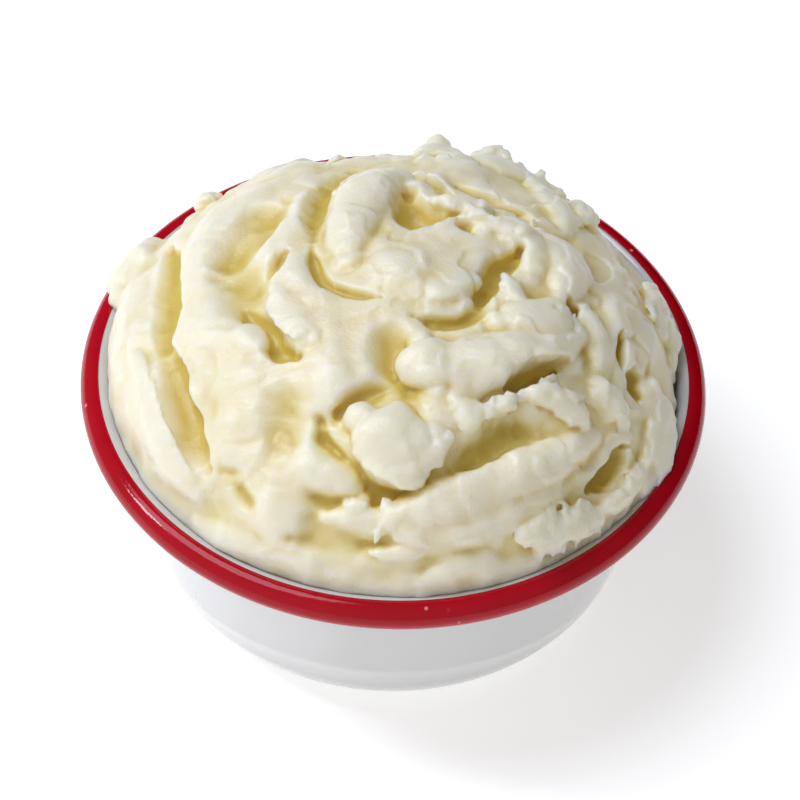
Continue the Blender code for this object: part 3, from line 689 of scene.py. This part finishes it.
def edge_jitter(points):
    """How far a stroke's edge strays at each point: for soft masses, and for crisp ones."""
    ripple = lattice_noise(points, 4.4, 21)
    wavy = lattice_noise(points, 8, 20) + 0.3 * ripple
    jagged = 0.7 * ripple + 0.35 * lattice_noise(points, 2.1, 22)
    jagged += 0.6 * (1 - 2.4 * np.abs(lattice_noise(points, 3.2, 23)))
    return wavy, jagged


def heap_distance(points):
    """About how far points lie outside the heap: its strokes, then the relief over all of it."""
    bent = warped(points)
    heap = dome_distance(bent)
    wavy, jagged = edge_jitter(points)
    for stroke in STROKES + torn_flakes():
        path = stroke_path(stroke)[0]
        margin = max(stroke.width, stroke.thick) * 1.4 + stroke.melt + 1
        inside = (bent > path.min(0) - margin) & (bent < path.max(0) + margin)
        near = np.all(inside, axis=1).nonzero()[0]
        if not len(near):
            continue
        jitter = jagged if stroke.kind == PLATE else wavy
        shape = stroke_distance(bent[near], stroke, jitter[near])
        if stroke.kind == SCOOP:
            heap[near] = -melted(shape, -heap[near], stroke.melt)
        else:
            heap[near] = melted(shape, heap[near], stroke.melt)
    torn = torn_share(points)
    heap -= (0.22 + 0.55 * torn) * torn_layers(points)
    heap -= 0.6 * lattice_noise(points, 14, 31) + 0.2 * lattice_noise(points, 7, 33)
    heap -= (0.07 + 0.07 * torn) * lattice_noise(points, 3.0, 32)
    return np.maximum(heap, bowl_distance(points)).astype(np.float32)


def grid_points(low, counts, spacing):
    """The points of a regular grid from its lowest corner, one row each."""
    axes = [low[k] + spacing * np.arange(counts[k], dtype=np.float32) for k in range(3)]
    return np.stack(np.meshgrid(*axes, indexing="ij"), -1).reshape(-1, 3).astype(np.float32)


def between(field, axis):
    """The grid with its values half-way between neighbours added along one axis."""
    field = np.moveaxis(field, axis, 0)
    fine = np.empty((2 * len(field) - 1, *field.shape[1:]), np.float32)
    fine[::2] = field
    fine[1::2] = 0.5 * (field[1:] + field[:-1])
    return np.moveaxis(fine, 0, axis)


def heap_field():
    """The heap's distance field on a grid, its coarse form, and the grid's lowest corner."""
    reach = ROLL_CENTRE_R / MM + 4
    low = np.array([-reach, -reach, FIELD_FLOOR], np.float32)
    high = np.array([reach, reach, DOME_BASE_Z + DOME_RISE + BAND_OUTSIDE])
    counts = np.ceil((high - low) / (2 * VOXEL)).astype(int) + 1
    points = grid_points(low, counts, 2 * VOXEL)
    coarse = dome_distance(points).astype(np.float32)
    band = (coarse > -BAND_INSIDE) & (coarse < BAND_OUTSIDE)
    inner = coarse <= -BAND_INSIDE
    coarse[band] = heap_distance(points[band])
    coarse[inner] = np.maximum(coarse[inner], bowl_distance(points[inner]))
    coarse = coarse.reshape(counts)
    field = between(between(between(coarse, 0), 1), 2)
    shape = field.shape
    field = field.ravel()
    near = (np.abs(field) < NEAR_SURFACE).nonzero()[0]
    cell = np.stack(np.unravel_index(near, shape), -1).astype(np.float32)
    field[near] = heap_distance(low + VOXEL * cell)
    return field.reshape(shape), coarse, low


def cut_cells(inside):
    """The cells of the grid that the surface passes through."""
    cells = tuple(n - 1 for n in inside.shape)
    total = np.zeros(cells, np.int8)
    for a, b, c in CELL_CORNERS:
        total += inside[a : a + cells[0], b : b + cells[1], c : c + cells[2]]
    return np.argwhere((total > 0) & (total < len(CELL_CORNERS)))


def cell_vertices(field, active, low):
    """A vertex for each cut cell, in the middle of the places where its edges meet the surface."""
    values = [field[tuple((active + corner).T)] for corner in CELL_CORNERS]
    places = np.zeros((len(active), 3))
    crossings = np.zeros(len(active))
    for i, first in enumerate(CELL_CORNERS):
        for j in range(i + 1, len(CELL_CORNERS)):
            second = CELL_CORNERS[j]
            if sum(abs(p - q) for p, q in zip(first, second)) != 1:
                continue
            cut = (values[i] < 0) != (values[j] < 0)
            share = np.where(cut, values[i] / np.where(cut, values[i] - values[j], 1), 0)
            edge = np.array(first) + share[:, None] * (np.array(second) - np.array(first))
            places += np.where(cut[:, None], edge, 0)
            crossings += cut
    return low + VOXEL * (active + places / crossings[:, None])


def crossing_quads(inside, number):
    """A quad round each grid edge that the surface crosses, made of the four cells about it."""
    quads = []
    for axis in range(3):
        u, v = (axis + 1) % 3, (axis + 2) % 3
        before = np.moveaxis(inside, axis, 0)[:-1]
        after = np.moveaxis(inside, axis, 0)[1:]
        edges = np.argwhere(np.moveaxis(before != after, 0, axis))
        ends = before[tuple(edges[:, k] for k in (axis, *[a for a in range(3) if a != axis]))]
        usable = (edges[:, u] > 0) & (edges[:, v] > 0)
        usable &= (edges[:, u] < number.shape[u]) & (edges[:, v] < number.shape[v])
        edges, ends = edges[usable], ends[usable]
        ring = []
        for du, dv in ((-1, -1), (0, -1), (0, 0), (-1, 0)):
            cell = edges.copy()
            cell[:, u] += du
            cell[:, v] += dv
            ring.append(number[tuple(cell.T)])
        ring = np.stack(ring, 1)
        ring[~ends] = ring[~ends][:, ::-1]
        quads.append(ring)
    return np.concatenate(quads)


def surface_net(field, low):
    """Vertices and quads of the surface where the field is zero."""
    inside = field < 0
    active = cut_cells(inside)
    number = np.full(tuple(n - 1 for n in field.shape), -1, np.int64)
    number[tuple(active.T)] = np.arange(len(active))
    return cell_vertices(field, active, low), crossing_quads(inside, number)


def blurred(filled, reach, passes=2):
    """The grid averaged over a box that reaches so many cells each way, done a few times."""
    for axis in range(3):
        for _ in range(passes):
            size = filled.shape[axis]
            total = np.cumsum(filled, axis=axis, dtype=np.float32)
            top = np.take(total, np.minimum(np.arange(size) + reach, size - 1), axis=axis)
            bottom = np.take(total, np.maximum(np.arange(size) - reach - 1, 0), axis=axis)
            filled = (top - bottom) / (2 * reach + 1)
    return filled


def sampled(grid, cells):
    """The grid's values at places given in cells, evened out between its points."""
    corner = np.clip(np.floor(cells).astype(int), 0, np.array(grid.shape) - 2)
    part = cells - corner
    value = 0
    for dx in (0, 1):
        for dy in (0, 1):
            for dz in (0, 1):
                share = 1
                for axis, step in enumerate((dx, dy, dz)):
                    share = share * (part[:, axis] if step else 1 - part[:, axis])
                place = corner + (dx, dy, dz)
                value = value + share * grid[place[:, 0], place[:, 1], place[:, 2]]
    return value


def fullness(coarse, low, vertices, reach):
    """How full of potato the space round each vertex is: half on a flat, more in a hollow."""
    spacing = 2 * VOXEL
    filled = np.clip(0.5 - coarse / spacing, 0, 1)
    cells = max(1, round(reach / spacing / 2))
    return sampled(blurred(filled, cells), (vertices - low) / spacing)


def close_underside(shape):
    """Swaps the flat floor of the cut for the potato that fills the bowl below it."""
    flat_below = CUT_FLOOR + 0.3 * VOXEL
    flat = [f for f in shape.faces if all(v.co.z < flat_below for v in f.verts)]
    bmesh.ops.delete(shape, geom=flat, context="FACES")
    loose = [v for v in shape.verts if not v.link_faces]
    bmesh.ops.delete(shape, geom=loose, context="VERTS")
    outline = np.array(inner_outline(WALL_GAP * MM)) / MM
    wall_heights = np.linspace(CUT_FLOOR, CORNER_TOP, UNDERSIDE_RINGS)[1:]
    heights = np.r_[wall_heights, outline[::-1][2:-1, 1]]
    ring = [e for e in shape.edges if e.is_boundary]
    for z in heights:
        made = bmesh.ops.extrude_edge_only(shape, edges=ring)["geom"]
        ring = [e for e in made if isinstance(e, bmesh.types.BMEdge) and e.is_boundary]
        radius = np.interp(z, outline[1:, 1], outline[1:, 0])
        for vertex in (v for v in made if isinstance(v, bmesh.types.BMVert)):
            scale = radius / math.hypot(vertex.co.x, vertex.co.y)
            vertex.co = (vertex.co.x * scale, vertex.co.y * scale, z)
    bmesh.ops.holes_fill(shape, edges=ring, sides=0)


def keep_largest(shape):
    """Deletes every scrap that isn't joined to the heap."""
    unseen = set(shape.verts)
    groups = []
    while unseen:
        stack = [unseen.pop()]
        group = []
        while stack:
            vertex = stack.pop()
            group.append(vertex)
            for edge in vertex.link_edges:
                other = edge.other_vert(vertex)
                if other in unseen:
                    unseen.discard(other)
                    stack.append(other)
        groups.append(group)
    groups.sort(key=len)
    scraps = [v for group in groups[:-1] for v in group]
    bmesh.ops.delete(shape, geom=scraps, context="VERTS")


def thin_out(heap):
    """Merges the triangles that matter least until the heap keeps within its number of them."""
    count = len(heap.data.polygons)
    if count <= TRIANGLE_LIMIT:
        return
    thinner = heap.modifiers.new("thinner", "DECIMATE")
    thinner.ratio = TRIANGLE_LIMIT / count
    bpy.context.view_layer.update()
    evaluated = heap.evaluated_get(bpy.context.evaluated_depsgraph_get())
    thin = bpy.data.meshes.new_from_object(evaluated)
    heap.modifiers.clear()
    heap.data = thin


def measure_hollows(mesh, vertices, coarse, low):
    """Stores how hollow the surface is, close by and farther round, and how deep it lies, for the
    potato's painted shade.
    """
    above_rim = np.clip((vertices[:, 2] - BOWL_HEIGHT / MM) / DEPTH_FADE, 0, 1)
    measures = {
        "crease": fullness(coarse, low, vertices, CREASE_REACH),
        "valley": fullness(coarse, low, vertices, VALLEY_REACH),
        "depth": -dome_distance(vertices) * above_rim,
    }
    for name, values in measures.items():
        mesh.attributes.new(name, "FLOAT", "POINT").data.foreach_set("value", values)


def build_heap():
    """The potato as one closed mesh that carries the measures for its painted shade."""
    field, coarse, low = heap_field()
    vertices, quads = surface_net(field, low)
    mesh = bpy.data.meshes.new("mashed_potato_heap")
    mesh.from_pydata(vertices.tolist(), [], quads.tolist())
    measure_hollows(mesh, vertices, coarse, low)
    shape = bmesh.new()
    shape.from_mesh(mesh)
    keep_largest(shape)
    bmesh.ops.smooth_vert(
        shape, verts=shape.verts, factor=0.5, use_axis_x=True, use_axis_y=True, use_axis_z=True
    )
    close_underside(shape)
    bmesh.ops.recalc_face_normals(shape, faces=shape.faces)
    bmesh.ops.triangulate(shape, faces=shape.faces)
    shape.to_mesh(mesh)
    shape.free()
    mesh.transform(Matrix.Scale(MM, 4))
    mesh.materials.append(potato())
    heap = bpy.data.objects.new("mashed_potato_heap", mesh)
    bpy.context.scene.collection.objects.link(heap)
    thin_out(heap)
    heap.data.shade_smooth()
    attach(heap, "root")
    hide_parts("mashed_potato")


def build_floor():
    """A plain white table."""
    mesh = bpy.data.meshes.new("table_top")
    reach = 3.0
    mesh.from_pydata(
        [(-reach, -reach, 0), (reach, -reach, 0), (reach, reach, 0), (-reach, reach, 0)],
        [],
        [(0, 1, 2, 3)],
    )
    made = Nodes("table_white")
    made.shader.inputs["Base Color"].default_value = (0.93, 0.93, 0.93, 1)
    made.shader.inputs["Roughness"].default_value = 0.6
    made.shader.inputs["Specular IOR Level"].default_value = 0.2
    made.shader.inputs["Emission Color"].default_value = (1, 1, 1, 1)
    made.shader.inputs["Emission Strength"].default_value = TABLE_GLOW
    mesh.materials.append(made.material)
    floor = bpy.data.objects.new("table_top", mesh)
    bpy.context.scene.collection.objects.link(floor)


def area_light(name, place, size, watts):
    """A round lamp that shines at the part."""
    light = bpy.data.lights.new(name, "AREA")
    light.shape = "DISK"
    light.size = size
    light.energy = watts
    light.color = LIGHT_COLOUR
    lamp = bpy.data.objects.new(name, light)
    bpy.context.scene.collection.objects.link(lamp)
    lamp.location = place
    towards = Vector(LIGHT_AIM) - Vector(place)
    lamp.rotation_euler = towards.to_track_quat("-Z", "Y").to_euler()


def build_surround():
    """A dim world, brighter on the left, at the front and above."""
    world = bpy.data.worlds.new("surround")
    world.use_nodes = True
    tree = world.node_tree
    background = tree.nodes["Background"]
    background.inputs["Color"].default_value = SURROUND_COLOUR
    direction = tree.nodes.new("ShaderNodeTexCoord").outputs["Generated"]
    slope = tree.nodes.new("ShaderNodeVectorMath")
    slope.operation = "DOT_PRODUCT"
    slope.inputs[1].default_value = SURROUND_SLOPE
    tree.links.new(direction, slope.inputs[0])
    level = tree.nodes.new("ShaderNodeMath")
    level.inputs[1].default_value = SURROUND_LEVEL
    tree.links.new(slope.outputs["Value"], level.inputs[0])
    tree.links.new(level.outputs[0], background.inputs["Strength"])
    bpy.context.scene.world = world


def build_light():
    """A high, large, soft key from the left, the lamp for the roll's streak, and the surround."""
    area_light("key", KEY_PLACE, KEY_SIZE, KEY_WATTS)
    area_light("glint", GLINT_PLACE, GLINT_SIZE, GLINT_WATTS)
    build_surround()
    bpy.context.scene.view_settings.view_transform = "Standard"


def build_camera():
    """The camera of the photograph: aimed so that the rim's centre falls on its pixel."""
    data = bpy.data.cameras.new("camera")
    data.lens = LENS_MM
    data.sensor_width = SENSOR_MM
    data.clip_end = 20
    camera = bpy.data.objects.new("camera", data)
    bpy.context.scene.collection.objects.link(camera)
    back = Vector((0, -math.cos(CAMERA_ELEVATION), math.sin(CAMERA_ELEVATION)))
    focal_pixels = LENS_MM / SENSOR_MM * FRAME_PIXELS
    turn = math.atan((FRAME_PIXELS / 2 - RIM_CENTRE_PIXEL[0]) / focal_pixels)
    tip = math.atan((FRAME_PIXELS / 2 - RIM_CENTRE_PIXEL[1]) / focal_pixels)
    level = Matrix.Rotation(math.pi / 2 - CAMERA_ELEVATION, 4, "X")
    aim = Matrix.Rotation(-turn, 4, "Y") @ Matrix.Rotation(-tip, 4, "X")
    place = Vector((0, 0, ROLL_CENTRE_Z)) + back * CAMERA_DISTANCE
    camera.matrix_world = (
        Matrix.Translation(place) @ level @ aim @ Matrix.Rotation(CAMERA_ROLL, 4, "Z")
    )
    bpy.context.scene.camera = camera


def main():
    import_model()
    build_camera()
    build_light()
    build_floor()
    build_bowl()
    build_heap()


main()
